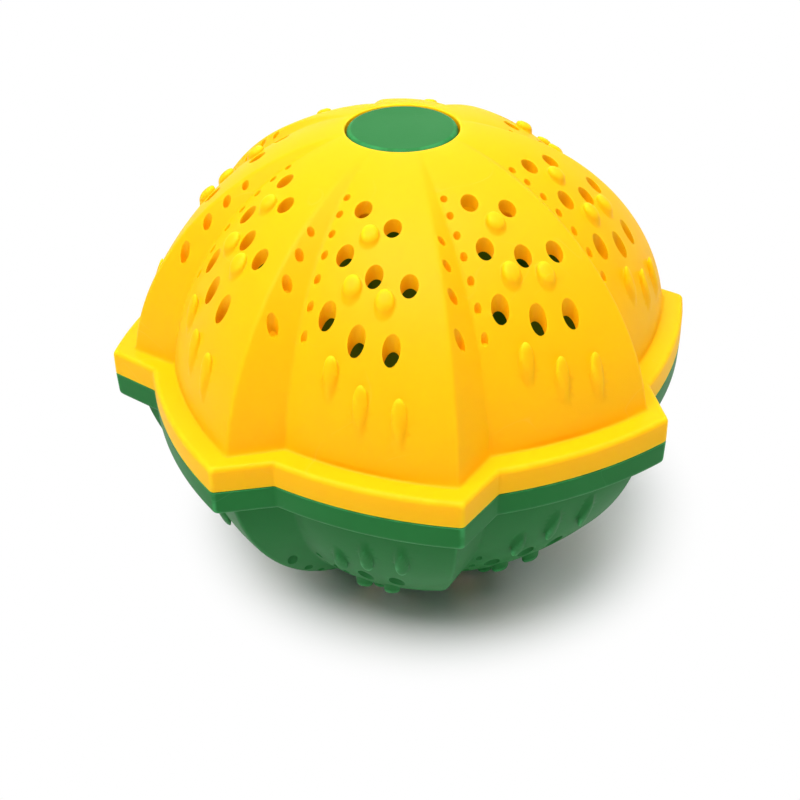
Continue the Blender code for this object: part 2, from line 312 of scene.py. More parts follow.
def ring(scale, flatScale, sides, outline, heightOf, kind):
    # kind: "hard" edges are kept in the mesh, "crisp" ones stay sharp too, "loose" ones give way to neighbours
    return {"scale": scale, "flatScale": flatScale, "sides": sides, "outline": outline, "heightOf": heightOf,
            "kind": kind}

def isFirm(one):
    return one["kind"] in ("hard", "crisp")

def holeFeature(place, share, collar):
    size = pattern["holes"]
    radius, sides = size["radius"], size["sides"]
    rings = [
        ring(radius, radius, sides, circle, onPetal, "crisp"),
        ring(radius + collar, radius + collar, sides, circle, onPetal, "loose"),
    ]
    centre = petalSpot(share * dome["crownHeight"], place, 0)
    return {"rings": rings, "hole": True, "centre": centre, "middle": None, "radius": radius}

def pinFeature(sheet, centre, size):
    # an upright pin with a slanting face: a round nub, or a drop with its tip pinched
    out = centre.normalized() * pinRings["reach"]
    inner, outer = landOn(sheet, *(centre - out))[1], landOn(sheet, *(centre + out))[1]
    fall = inner - outer
    slant = size["slant"] * fall
    radius, sides = size["radius"], size["sides"]
    middle = (inner + outer) / 2 + size["rise"] + size["level"] * radius * (fall - slant)

    def outline(turn):
        along, side = circle(turn)
        if along > 0:
            side *= 1 - size["pinch"] * along ** 2
        along *= size["tail"] if along > 0 else size["head"]
        return along, side

    def face(z, along, share):
        rounding = max(share - size["flat"], 0) / (1 - size["flat"])
        sunk = pinRings["crowning"] * share ** 2 + size["edge"] * (1 - math.sqrt(max(0.0, 1 - rounding ** 2)))
        return blendUp(z, middle - slant * along - sunk, pinRings["blend"])

    rings = [ring(radius * share, radius * share, sides, outline, face, "soft") for share in pinRings["faceShares"]]
    rings.append(ring(radius, radius, sides, outline, face, "hard"))
    for (grow, flatGrow), kind in ((pinRings["foot"], "hard"), (pinRings["skirt"], "loose")):
        rings.append(ring(radius + grow, radius + flatGrow, sides, outline, onPetal, kind))
    return {"rings": rings, "hole": False, "centre": centre, "middle": middle, "radius": radius}

def cutFeature(centre, radius, depth, sides, axisHeight):
    floor = axisHeight - depth

    def cutFloor(z, along, share):
        return min(z - cutRings["leastDepth"], floor)

    inner, wall, skirt = cutRings["floor"], cutRings["wall"], radius + cutRings["skirt"]
    rings = [
        ring(radius * inner[0], radius * inner[1], sides, circle, cutFloor, "soft"),
        ring(radius * wall[0], radius * wall[1], sides, circle, cutFloor, "crisp"),
        ring(radius, radius, sides, circle, onPetal, "crisp"),
        ring(skirt, skirt, sides, circle, onPetal, "loose"),
    ]
    return {"rings": rings, "hole": False, "centre": centre, "middle": floor, "radius": radius}

def outerFeatures(sheet):
    holes = pattern["holes"]
    made = [holeFeature(place, share, holes["collar"]) for place, share in holes["places"]]
    for kind in ("nubs", "drops"):
        for place, share in pattern[kind]["places"]:
            made.append(pinFeature(sheet, petalSpot(share * dome["crownHeight"], place, 0), pattern[kind]))
    dimples = pattern["dimples"]
    for height in dimples["heights"]:
        centre = petalSpot(height, dimples["place"], 0)
        made.append(cutFeature(centre, dimples["radius"], dimples["depth"], dimples["sides"], height))
    recesses = pattern["recesses"]
    for out, radius, depth in recesses["spots"]:
        centre = Vector((out * math.cos(recesses["angle"]), out * math.sin(recesses["angle"])))
        height = landOn(sheet, centre.x, centre.y)[1]
        made.append(cutFeature(centre, radius, depth, recesses["sides"], height))
    return made

# Meshing of a sheet with its features
def featureLoops(sheet, feature):
    # each ring's points, as (flattened place, place)
    centre = feature["centre"]
    out = centre.normalized()
    beside = Vector((-out.y, out.x))
    loops = []
    for one in feature["rings"]:
        loop = []
        for i in range(one["sides"]):
            along, side = one["outline"](math.tau * i / one["sides"])
            spot = out * along + beside * side
            flat = landOn(sheet, *(centre + spot * one["flatScale"]))[0]
            x, y = centre + spot * one["scale"]
            height = landOn(sheet, x, y)[1]
            height = one["heightOf"](height, along * one["scale"], one["scale"] / feature["radius"])
            loop.append((flat, Vector((x, y, height))))
        loops.append(loop)
    return loops

def inFlatRing(point, loop, grow):
    # whether a flattened point lies in a loop that is grown about its middle
    middle = sum(loop, Vector((0, 0))) / len(loop)
    inside = False
    for a, b in zip(loop, loop[1:] + loop[:1]):
        a = middle + (a - middle) * (1 + grow / (a - middle).length)
        b = middle + (b - middle) * (1 + grow / (b - middle).length)
        if (a.y > point.y) != (b.y > point.y):
            if point.x < a.x + (b.x - a.x) * (point.y - a.y) / (b.y - a.y):
                inside = not inside
    return inside

def loopBox(loop):
    margin = meshing["boxMargin"]
    xs, ys = [p.x for p in loop], [p.y for p in loop]
    return min(xs) - margin, max(xs) + margin, min(ys) - margin, max(ys) + margin

def meshSheet(sheet, rows, columns, features, spacing):
    # triangles over the grid's chosen rows and columns, with the features' rings set into them
    places, flats, keptEdges, crisp = [], [], [], []
    taken = {}

    def add(flat, place):
        flats.append(flat)
        places.append(place)
        return len(places) - 1

    def cellOf(flat):
        return int(flat.x // meshing["crowding"]), int(flat.y // meshing["crowding"])

    def crowded(flat):
        cx, cy = cellOf(flat)
        cells = ((cx + i, cy + j) for i in (-1, 0, 1) for j in (-1, 0, 1))
        return any((flat - other).length < meshing["crowding"] for cell in cells for other in taken.get(cell, ()))

    drawn = []
    for feature in features:
        feature["loops"] = featureLoops(sheet, feature)
        firm = [loop for loop, one in zip(feature["loops"], feature["rings"]) if isFirm(one)]
        drawn.append([flat for flat, place in firm[-1]])

    # the rings that stay first, then those that give way to them
    for loose in (False, True):
        for n, feature in enumerate(features):
            others = [other for o, other in enumerate(drawn) if o != n]
            for m, (one, loop) in enumerate(zip(feature["rings"], feature["loops"])):
                if (one["kind"] == "loose") != loose:
                    continue
                keys = []
                for flat, place in loop:
                    if not isFirm(one) and any(inFlatRing(flat, other, meshing["clearance"]) for other in others):
                        continue
                    if loose and crowded(flat):
                        continue
                    keys.append(add(flat, place))
                    if one["kind"] != "soft":
                        taken.setdefault(cellOf(flat), []).append(flat)
                edges = list(zip(keys, keys[1:] + keys[:1]))
                if isFirm(one):
                    keptEdges.extend(edges)
                if one["kind"] == "crisp":
                    crisp.extend(edges)
                if feature["hole"] and m == 0:
                    feature["edge"] = keys
            if not loose and feature["middle"] is not None:
                flat = landOn(sheet, *feature["centre"])[0]
                add(flat, Vector((*feature["centre"], feature["middle"])))

    # the grid's own points, where no feature covers them
    outers = [[flat for flat, place in feature["loops"][-1]] for feature in features]
    boxes = [loopBox(loop) for loop in outers]

    def covered(flat):
        return any(x0 < flat.x < x1 and y0 < flat.y < y1 and inFlatRing(flat, loop, spacing)
                   for loop, (x0, x1, y0, y1) in zip(outers, boxes))

    borders = {"low": [], "high": [], "left": [], "right": []}
    for j in rows:
        for c in columns:
            flat = sheet["flat"][j][c]
            at = {"low": j == rows[0], "high": j == rows[-1], "left": c == columns[0], "right": c == columns[-1]}
            if not any(at.values()) and covered(flat):
                continue
            key = add(flat, sheet["grid"][j][c].copy())
            for name in borders:
                if at[name]:
                    borders[name].append(key)
    for line in borders.values():
        keptEdges.extend(zip(line, line[1:]))

    faces, fromVerts = delaunay_2d_cdt(flats, keptEdges, [], 0, 1e-6)[2:4]
    back = [source[0] for source in fromVerts]
    holes = [feature["edge"] for feature in features if feature["hole"]]
    ringOf = {key: n for n, keys in enumerate(holes) for key in keys}
    triangles = []
    for face in faces:
        keys = [back[i] for i in face]
        owners = {ringOf.get(key, -1) for key in keys}
        fillsHole = len(owners) == 1 and owners != {-1}
        onSide = set(keys) <= set(borders["left"]) or set(keys) <= set(borders["right"])
        if not fillsHole and not onSide:
            triangles.append(keys)
    return {"places": places, "faces": triangles, "low": borders["low"], "high": borders["high"], "holes": holes,
            "crisp": crisp}

# Rim, seam, crown and boss round the petals. The rim's points are (out from the dome's foot, height)
rim = {
    "ledge": 3.7,
    "draft": 0.08,
    "draftStart": 0.01,
    "thickness": 4.6,
    "topRound": 0.9,
    "topCuts": 5,
    "seamRound": 0.15,
    "seamCuts": 3,
    "hold": 0.2,
    "face": 0.04,
    "fillet": ((-0.30, 0.28), (-0.16, 0.08), (0.08, 0), (0.30, 0)),  # from the petals, over the rim's top
    "groove": {"walls": (2.0, -0.2), "end": 2.15, "mouth": 0.15, "corner": 0.2},
    "tongue": {"walls": (1.7, 0.1), "end": -1.85, "mouth": 0.2, "corner": 0.2},
}
crown = {
    "landEdge": 0.15,
    "landHold": 0.12,
    "recess": 9.45,
    "recessHold": 0.15,
    "shoulder": 39.2,
    "pocket": 7.3,
    "pocketFloor": 37.1,
    "corner": 0.1,
    "bossRadius": 11.05,
    "bossFoot": 35.2,
    "bossEdge": 0.4,
    "bossHold": 0.2,
    "bossFloorHold": 0.3,
}
easing = 0.3  # share of an edge's reach at its middle point

def quarter(outFrom, outTo, zFrom, zTo, cuts, startFlat):
    # a rounded corner between two directions, as (out, height); startFlat leaves along out
    for i in range(1, cuts):
        t = math.pi / 2 * i / cuts
        a, b = (math.sin(t), 1 - math.cos(t)) if startFlat else (1 - math.cos(t), math.sin(t))
        yield outFrom + (outTo - outFrom) * a, zFrom + (zTo - zFrom) * b

def easedEdge(radius, height, out, up):
    # from the flat side of a corner to its upright side, which are out and up from it
    return [(radius + out, height), (radius + out * easing, height + up * easing), (radius, height + up)]

def rimProfile():
    # from the foot of the petals out over the rim's top and down its face to the seam
    ledge, top, edge, hold = rim["ledge"], rim["thickness"], rim["topRound"], rim["hold"]
    face, lip = rim["face"], rim["seamRound"]
    shoulder = ledge - rim["draft"]
    points = [(out, top + up) for out, up in rim["fillet"]]
    points += [(shoulder - edge - hold, top), (shoulder - edge, top)]
    points += quarter(shoulder - edge, shoulder, top, top - edge, rim["topCuts"], True)
    points += [(shoulder, top - edge), (shoulder + rim["draftStart"], top - edge - hold)]
    points += [(ledge, face + lip + hold), (ledge, face + lip)]
    points += quarter(ledge, ledge - lip, face + lip, face, rim["seamCuts"], False)
    return points + [(ledge - lip, face)]

def seamProfile(size):
    # a groove up into the rim or a tongue out of it, from the rim's face to its end and back
    outer, inner = size["walls"]
    end, corner, wide, face = size["end"], size["corner"], size["mouth"], rim["face"]
    way = 1 if end > face else -1
    mouth, bend = face + wide * way, end - corner * way
    return [(outer + wide, face), (outer, mouth), (outer, bend), (outer - corner, end),
            (inner + corner, end), (inner, bend), (inner, mouth), (inner - wide, face)]

def crownProfile():
    # from the crown's ring inwards and down into the cap's recess and the magnet's pocket, as (radius, height)
    top, edge, recess, corner = dome["crownHeight"], crown["landEdge"], crown["recess"], crown["corner"]
    shoulder, pocket, floor = crown["shoulder"], crown["pocket"], crown["pocketFloor"]
    return [
        (recess + edge + crown["landHold"], top), *easedEdge(recess, top, edge, -edge),
        (recess, top - edge - crown["recessHold"]), (recess, shoulder + corner), (recess - corner, shoulder),
        (pocket + corner, shoulder), (pocket, shoulder - corner),
        (pocket, floor + corner), (pocket - corner, floor),
    ]

def bossProfile():
    radius, foot, edge = crown["bossRadius"], crown["bossFoot"], crown["bossEdge"]
    return [(radius, foot + edge + crown["bossHold"]), *easedEdge(radius, foot, -edge, edge)[::-1],
            (radius - edge - crown["bossFloorHold"], foot)]

def makeSkins():
    # the outer skin of a tile and the plainer inner one, which ends on the boss
    heights = list(dome["lowRows"]) + rowHeights()
    outerGrid = [tileRow(height) for height in heights]
    innerGrid = [[p * (1 - dome["wall"] / p.length) for p in row] for row in outerGrid]
    for p in innerGrid[0]:
        p.z = rim["face"]
    columns = list(range(len(outerGrid[0])))
    outerSheet = sheetOf(outerGrid)
    rows = list(range(len(dome["lowRows"]), len(heights)))
    outer = meshSheet(outerSheet, rows, columns, outerFeatures(outerSheet), meshing["outerSpacing"])

    reach = crown["bossRadius"]
    nearest = [min(math.hypot(p.x, p.y) for p in row) for row in innerGrid]
    lastRow = max(j for j, out in enumerate(nearest) if out > reach + meshing["bossGap"])
    innerSheet = sheetOf(innerGrid)
    ended = []
    for angle in innerSheet["angles"][lastRow]:
        x, y = reach * math.cos(angle), reach * math.sin(angle)
        ended.append(Vector((x, y, landOn(innerSheet, x, y)[1])))
    innerSheet = sheetOf(innerGrid[: lastRow + 1] + [ended])
    few = meshing["coarseStep"]
    rows = list(range(0, lastRow, few)) + [lastRow + 1]
    innerColumns = columns[::few][:-1] + columns[-1:]
    size = pattern["holes"]
    holes = [holeFeature(place, share, size["innerCollar"]) for place, share in size["places"]]
    inner = meshSheet(innerSheet, rows, innerColumns, holes, meshing["innerSpacing"])
    return {"outer": outer, "inner": inner, "innerColumns": innerColumns}

def makeTile(skins, seam):
    # one petal's share of a half, closed by the rim, the crown and the boss, and open on its two sides
    outer, inner = skins["outer"], skins["inner"]
    bm = bmesh.new()

    def place(points):
        return [bm.verts.new(p * mm) for p in points]

    outerVerts = place(outer["places"])
    innerVerts = place(inner["places"])
    for face in outer["faces"]:
        bm.faces.new([outerVerts[k] for k in face])
    for face in inner["faces"]:
        bm.faces.new([innerVerts[k] for k in reversed(face)])
    sharp = [(outerVerts[i], outerVerts[j]) for i, j in outer["crisp"]]
    for outside, inside in zip(outer["holes"], inner["holes"]):
        for i in range(len(outside)):
            j = (i + 1) % len(outside)
            a, b = outerVerts[outside[i]], outerVerts[outside[j]]
            c, d = innerVerts[inside[j]], innerVerts[inside[i]]
            bm.faces.new((b, a, d, c))
            sharp.append((c, d))

    def strip(first, second):
        for a, b, c, d in zip(first, first[1:], second[1:], second):
            bm.faces.new((a, b, c, d))

    foot = [Vector((p.x, p.y, 0)) for p in tileRow(0.0)]
    last = [outerVerts[k] for k in outer["low"]]
    for out, height in rimProfile() + seam:
        row = place([p * (1 + out / p.length) + Vector((0, 0, height)) for p in foot])
        strip(last, row)
        last = row
    innerFoot = [innerVerts[k] for k in inner["low"]]
    columns = skins["innerColumns"]
    for n, (c, d) in enumerate(zip(columns, columns[1:])):
        bm.faces.new(last[c : d + 1] + [innerFoot[n + 1], innerFoot[n]])

    def turnedRow(row, radius, height):
        angles = [math.atan2(v.co.y, v.co.x) for v in row]
        return place([Vector((radius * math.cos(t), radius * math.sin(t), height)) for t in angles])

    def closeIn(row, profile, centreHeight):
        first = row
        for radius, height in profile:
            following = turnedRow(first, radius, height)
            strip(following, row)
            row = following
        centre = bm.verts.new(Vector((0, 0, centreHeight)) * mm)
        for a, b in zip(row, row[1:]):
            bm.faces.new((a, b, centre))

    closeIn([outerVerts[k] for k in outer["high"]], crownProfile(), crown["pocketFloor"])
    closeIn([innerVerts[k] for k in inner["high"]], bossProfile(), crown["bossFoot"])
    for face in bm.faces:
        face.smooth = True
    for pair in sharp:
        bm.edges.get(pair).smooth = False
    for v in [v for v in bm.verts if not v.link_faces]:
        bm.verts.remove(v)
    mesh = bpy.data.meshes.new("petalTile")
    bm.to_mesh(mesh)
    bm.free()
    return mesh

def geometryTree(name, inputs):
    ends = [("Geometry", "Geometry")]
    return newTree(name, "GeometryNodeTree", ends + inputs + [("Material", "Material")], ends)

def turnTree():
    # copies of a tile about the ball's axis, joined where they meet
    tree, given, out = geometryTree("turnedCopies", [("Copies", "Int"), ("Join Distance", "Float")])
    points = put(tree, "GeometryNodePoints", Count=given["Copies"])
    index = put(tree, "GeometryNodeInputIndex")
    share = put(tree, "ShaderNodeMath", {"operation": "DIVIDE"}, i0=index.outputs[0], i1=given["Copies"])
    turn = put(tree, "ShaderNodeMath", {"operation": "MULTIPLY"}, i0=share.outputs[0], i1=math.tau)
    euler = put(tree, "ShaderNodeCombineXYZ", Z=turn.outputs[0])
    copies = put(tree, "GeometryNodeInstanceOnPoints", Points=points.outputs[0], Instance=given["Geometry"],
                 Rotation=euler.outputs[0])
    real = put(tree, "GeometryNodeRealizeInstances", Geometry=copies.outputs[0])
    joined = put(tree, "GeometryNodeMergeByDistance", Geometry=real.outputs[0], Distance=given["Join Distance"])
    done = put(tree, "GeometryNodeSetMaterial", Geometry=joined.outputs[0], Material=given["Material"])
    link(tree, done.outputs[0], out["Geometry"])
    return tree

def grown(name, base, tree, values):
    # a plain mesh from a geometry nodes tree on a base mesh
    seed = newObject(f"{name}_seed", base)
    modifier = seed.modifiers.new("grow", "NODES")
    modifier.node_group = tree
    for item in tree.interface.items_tree:
        if item.in_out == "INPUT" and item.name in values:
            modifier[item.identifier] = values[item.name]
    seed.update_tag()
    graph = bpy.context.evaluated_depsgraph_get()
    graph.update()
    mesh = bpy.data.meshes.new_from_object(seed.evaluated_get(graph), depsgraph=graph)
    seed.modifiers.remove(modifier)
    bpy.data.objects.remove(seed)
    mesh.name = name
    return mesh

def outwards(mesh, lift, mirrored):
    # set a half on the seam plane, and turn its faces outwards
    bm = bmesh.new()
    bm.from_mesh(mesh)
    for v in bm.verts:
        v.co.z = lift - v.co.z if mirrored else lift + v.co.z
    bmesh.ops.recalc_face_normals(bm, faces=bm.faces)
    if bm.calc_volume(signed=True) < 0:
        bmesh.ops.reverse_faces(bm, faces=bm.faces)
    bm.to_mesh(mesh)
    bm.free()

# What the finishes read from a mesh
bendField = {"shortest": 0.02, "most": 3}  # square mm of an edge, and 1/mm
paintedGlowField = {"steepness": 4, "start": 2.8}  # 0 where a face looks 0.7 inwards, 1 from 0.95 on

def pointRows(mesh, field):
    values = np.empty(len(mesh.vertices) * 3, np.float32)
    mesh.vertices.foreach_get(field, values)
    return values.reshape(-1, 3)

def storeField(mesh, name, values):
    mesh.attributes.new(name, "FLOAT", "POINT").data.foreach_set("value", values.astype(np.float32))

def storeBend(mesh):
    # keeps at each vertex how far the surface bends there, in 1/mm: outer edges over 0, inner corners under it
    count = len(mesh.vertices)
    ends = np.empty(len(mesh.edges) * 2, np.int32)
    mesh.edges.foreach_get("vertices", ends)
    spots, normals = pointRows(mesh, "co") / mm, pointRows(mesh, "normal")
    a, b = ends[::2], ends[1::2]
    step = spots[b] - spots[a]
    length = np.maximum((step ** 2).sum(1), bendField["shortest"])
    bend = ((normals[b] - normals[a]) * step).sum(1) / length
    meets = np.maximum(np.bincount(ends, minlength=count), 1)
    mean = (np.bincount(a, bend, count) + np.bincount(b, bend, count)) / meets
    near = np.bincount(a, mean[b], count) + np.bincount(b, mean[a], count)
    smooth = 0.5 * mean + 0.5 * near / meets
    storeField(mesh, "bend", np.clip(smooth, -bendField["most"], bendField["most"]))

def storePaintedGlowMask(mesh):
    # 1 at each vertex that looks into the ball's hollow, where a painted glow stands in for the light that the
    # walls let in
    away = pointRows(mesh, "co") - np.array((0, 0, seamHeight * mm), np.float32)
    facing = (pointRows(mesh, "normal") * away).sum(1) / np.maximum(np.linalg.norm(away, axis=1), 1e-6)
    storeField(mesh, "inner", np.clip(-paintedGlowField["steepness"] * facing - paintedGlowField["start"], 0, 1))

# Shader nodes in short, and the groups that more than one finish uses
def calc(tree, operation, *values):
    inputs = {f"i{n}": value for n, value in enumerate(values)}
    return put(tree, "ShaderNodeMath", {"operation": operation}, **inputs).outputs[0]

def scaled(tree, value, factor, added=0.0):
    return calc(tree, "MULTIPLY_ADD", value, factor, added)

def mix(tree, amount, first, second):
    # a colour between two, both given as values or sockets
    return put(tree, "ShaderNodeMix", {"data_type": "RGBA"}, i0=amount, i6=first, i7=second).outputs[2]

def noise(tree, spot, scale, detail, **more):
    return put(tree, "ShaderNodeTexNoise", Vector=spot, Scale=scale, Detail=detail, **more).outputs["Fac"]

def mapped(tree, value, low, high, smooth=False, **more):
    settings = {"interpolation_type": "SMOOTHSTEP"} if smooth else None
    made = put(tree, "ShaderNodeMapRange", settings, Value=value, From_Min=low, From_Max=high, **more)
    return made.outputs["Result"]

def kept(tree, name):
    return put(tree, "ShaderNodeAttribute", {"attribute_name": name}).outputs["Fac"]

def grainGroup():
    # the mould's fine texture, and slow clouds of tone in the plastic
    tree, given, out = newTree(
        "mouldGrain", "ShaderNodeTree",
        [("Vector", "Vector"), ("Grain Scale", "Float", 2500.0), ("Cloud Scale", "Float", 60.0)],
        [("Height", "Float"), ("Clouds", "Float")],
    )
    fine = noise(tree, given["Vector"], given["Grain Scale"], 3.0, Roughness=0.6)
    slow = noise(tree, given["Vector"], given["Cloud Scale"], 4.0, Roughness=0.55)
    link(tree, fine, out["Height"])
    link(tree, mapped(tree, slow, 0.35, 0.65), out["Clouds"])
    return tree

def edgeSheenAndCornerShadeGroup():
    # masks from the bend kept in the mesh: outer edges, for wear and a painted highlight, and inner corners, for
    # painted shade
    tree, given, out = newTree(
        "edgeWearSheenAndCornerShade", "ShaderNodeTree",
        [("Vector", "Vector"), ("Bend", "Float", 0.0), ("Edge Start", "Float", 0.25),
         ("Edge Full", "Float", 1.2), ("Corner Start", "Float", 0.1), ("Corner Full", "Float", 1.0),
         ("Break Scale", "Float", 400.0)],
        [("Edge", "Float"), ("Corner", "Float")],
    )
    broken = noise(tree, given["Vector"], given["Break Scale"], 3.0)
    patchy = mapped(tree, broken, 0.35, 0.6, To_Min=0.25, To_Max=1.0)
    edge = mapped(tree, given["Bend"], given["Edge Start"], given["Edge Full"], True)
    link(tree, calc(tree, "MULTIPLY", edge, patchy), out["Edge"])
    hollow = calc(tree, "MULTIPLY", given["Bend"], -1.0)
    link(tree, mapped(tree, hollow, given["Corner Start"], given["Corner Full"], True), out["Corner"])
    return tree

def scuffGroup():
    # thin curved scratches that come and go over the surface
    tree, given, out = newTree(
        "handlingScuffs", "ShaderNodeTree",
        [("Vector", "Vector"), ("Scale", "Float", 45.0), ("Width", "Float", 0.006), ("Cover", "Float", 0.5),
         ("Cover Full", "Float", 0.75), ("Cover Scale", "Float", 90.0)],
        [("Mask", "Float")],
    )
    lines = noise(tree, given["Vector"], given["Scale"], 1.0, Distortion=1.5)
    off = calc(tree, "ABSOLUTE", calc(tree, "SUBTRACT", lines, 0.5))
    thin = mapped(tree, off, given["Width"], 0.0)
    fade = noise(tree, given["Vector"], given["Cover Scale"], 2.0)
    shown = mapped(tree, fade, given["Cover"], given["Cover Full"])
    link(tree, calc(tree, "MULTIPLY", thin, shown), out["Mask"])
    return tree

groups = {"grain": grainGroup(), "wear": edgeSheenAndCornerShadeGroup(), "scuffs": scuffGroup()}
print("shader groups made:", len(groups))

def useGroup(tree, name, **inputs):
    return put(tree, "ShaderNodeGroup", {"node_tree": groups[name]}, **inputs).outputs

def newMaterial(name):
    made = bpy.data.materials.new(name)
    made.use_nodes = True
    tree = made.node_tree
    return made, tree, tree.nodes["Principled BSDF"], put(tree, "ShaderNodeTexCoord").outputs["Object"]

def startFinish(name, look):
    # a material with its grain in the bump, and the sockets of clouds, of outer edges for wear and a painted
    # highlight, and of inner corners for painted shade
    made, tree, shader, spot = newMaterial(name)
    grain = useGroup(tree, "grain", Vector=spot, Grain_Scale=look["grainScale"], Cloud_Scale=look["cloudScale"])
    wear = useGroup(tree, "wear", Vector=spot, Bend=kept(tree, "bend"), **look["bendRange"])
    bump = put(tree, "ShaderNodeBump", Strength=look["bump"], Distance=look["bumpDepth"], Height=grain["Height"])
    link(tree, bump.outputs["Normal"], shader.inputs["Normal"])
    return made, tree, shader, spot, grain["Clouds"], wear["Edge"], wear["Corner"]

# Moulded plastics
mouldedSurface = {
    "grainScale": 2600.0,
    "cloudScale": 70.0,
    "bendRange": {"Edge_Full": 0.8},
    "bump": 0.12,
    "bumpDepth": 0.0001,
    "clouds": 0.22,
    # share of the painted shade in inner corners
    "paintedCornerShade": 0.3,
    "scuffs": 0.15,
    "cloudDullness": 0.06,
    "scuffDullness": 0.15,
}
# each plastic has a darker tone, also used for painted shade in inner corners; a paler edge tone, for wear and a
# painted highlight; and the colour of a painted glow inside the hollow
plastics = {
    "yellow": {
        "colour": (0.98, 0.48, 0.001, 1),
        "deep": (0.94, 0.53, 0.001, 1),
        "rubbedAndHighlit": (1.0, 0.66, 0.01, 1),
        "scuffed": (1.0, 0.75, 0.20, 1),
        "wear": 0.55,
        "roughness": 0.5,
        "gloss": 0.12,
        "glow": 0.6,
        "depth": 0.0014,
        "glowColour": (1.0, 0.92, 0.1),
        "through": (0.45, 0.2, 0.0, 1),
    },
    "green": {
        "colour": (0.013, 0.160, 0.032, 1),
        "deep": (0.007, 0.110, 0.020, 1),
        "rubbedAndHighlit": (0.06, 0.38, 0.12, 1),
        "scuffed": (0.30, 0.55, 0.36, 1),
        "wear": 0.6,
        "roughness": 0.45,
        "gloss": 0.1,
        "glow": 0.12,
        "depth": 0.0015,
        "glowColour": (0.2, 1.0, 0.35),
        "through": (0.022, 0.012, 0.0, 1),
    },
}

def mouldedPlastic(name, look):
    shared = mouldedSurface
    made, tree, shader, spot, clouds, edge, corner = startFinish(name, shared)
    scuffs = useGroup(tree, "scuffs", Vector=spot)["Mask"]
    tone = mix(tree, scaled(tree, clouds, shared["clouds"]), look["colour"], look["deep"])
    # painted shade: inner corners darkened toward the deep tone
    tone = mix(tree, scaled(tree, corner, shared["paintedCornerShade"]), tone, look["deep"])
    # outer edges lightened, partly as wear and partly as a painted highlight
    tone = mix(tree, scaled(tree, edge, look["wear"]), tone, look["rubbedAndHighlit"])
    tone = mix(tree, scaled(tree, scuffs, shared["scuffs"]), tone, look["scuffed"])
    link(tree, tone, shader.inputs["Base Color"])
    dull = scaled(tree, clouds, shared["cloudDullness"], look["roughness"])
    link(tree, scaled(tree, scuffs, shared["scuffDullness"], dull), shader.inputs["Roughness"])
    # painted glow: faces that look into the hollow emit the light that the translucent walls would let in
    link(tree, mix(tree, kept(tree, "inner"), (0, 0, 0, 1), look["through"]), shader.inputs["Emission Color"])
    for label, value in (
        ("Emission Strength", 1.0), ("Subsurface Weight", look["glow"]), ("Subsurface Scale", look["depth"]),
        ("Subsurface Radius", look["glowColour"]), ("Specular IOR Level", look["gloss"]),
    ):
        shader.inputs[label].default_value = value
    return made

# Fired clay with painted shade in its corners and hollows, and pressed ferrite, paler on its edges from wear
clays = {
    "white": ((0.72, 0.69, 0.64, 1), (0.50, 0.46, 0.41, 1)),
    "grey": ((0.20, 0.20, 0.21, 1), (0.12, 0.12, 0.125, 1)),
    "terracotta": ((0.47, 0.17, 0.075, 1), (0.30, 0.09, 0.04, 1)),
    "brown": ((0.12, 0.062, 0.038, 1), (0.065, 0.033, 0.02, 1)),
}
claySurface = {
    "grainScale": 3200.0,
    "cloudScale": 500.0,
    "bendRange": {"Corner_Full": 0.5},
    "bump": 0.5,
    "bumpDepth": 0.0002,
    "clouds": 0.7,
    "onEdges": False,
    # share of the painted shade in the clay's corners and hollows
    "wear": 0.6,
    "cloudDullness": 0.15,
    "roughness": 0.65,
    "metallic": 0.0,
}
ferriteTones = ((0.045, 0.045, 0.05, 1), (0.12, 0.12, 0.125, 1))
ferriteSurface = {
    "grainScale": 3000.0,
    "cloudScale": 300.0,
    "bendRange": {},
    "bump": 0.3,
    "bumpDepth": 0.0001,
    "clouds": 0.3,
    "onEdges": True,
    "wear": 0.6,
    "cloudDullness": 0.15,
    "roughness": 0.5,
    "metallic": 0.3,
}

def pressedPowder(name, look, tones):
    made, tree, shader, _, clouds, edge, corner = startFinish(name, look)
    # ferrite takes wear on its edges; clay takes painted shade in its corners and hollows
    edgeWearOrCornerShade = edge if look["onEdges"] else corner
    tone = mix(tree, scaled(tree, clouds, look["clouds"]), *tones)
    tone = mix(tree, scaled(tree, edgeWearOrCornerShade, look["wear"]), tone, tones[1])
    link(tree, tone, shader.inputs["Base Color"])
    link(tree, scaled(tree, clouds, look["cloudDullness"], look["roughness"]), shader.inputs["Roughness"])
    shader.inputs["Metallic"].default_value = look["metallic"]
    return made

yellow = mouldedPlastic("yellowPlastic", plastics["yellow"])
green = mouldedPlastic("greenPlastic", plastics["green"])
ferrite = pressedPowder("darkFerrite", ferriteSurface, ferriteTones)
print("finishes made:", len(bpy.data.materials))

def finishPiece(name, mesh, body, replaced):
    storeBend(mesh)
    if "shell" in name:
        storePaintedGlowMask(mesh)
    piece = newObject(name, mesh)
    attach(piece, body)
    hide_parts(*replaced)
    print(name, len(mesh.vertices), "vertices,", sum(len(p.vertices) - 2 for p in mesh.polygons), "triangles")

def finishTurned(name, base, values, half, replaced):
    mesh = grown(name, base, turning, values)
    outwards(mesh, seamHeight * mm, half == "lower")
    finishPiece(name, mesh, f"{half}_half", [replaced])

# Shells
skins = makeSkins()
print("petal meshed:", len(skins["outer"]["faces"]), "outer and", len(skins["inner"]["faces"]), "inner faces")
turning = turnTree()
shellJoin = 4e-6
for half, seam, finish, slot in (
    ("upper", rim["groove"], yellow, "yellow_plastic"),
    ("lower", rim["tongue"], green, "green_plastic"),
):
    values = {"Copies": dome["petals"], "Join Distance": shellJoin, "Material": finish}
    tile = makeTile(skins, seamProfile(seam))
    finishTurned(f"{half}_shell_moulded", tile, values, half, f"{half}_shell")

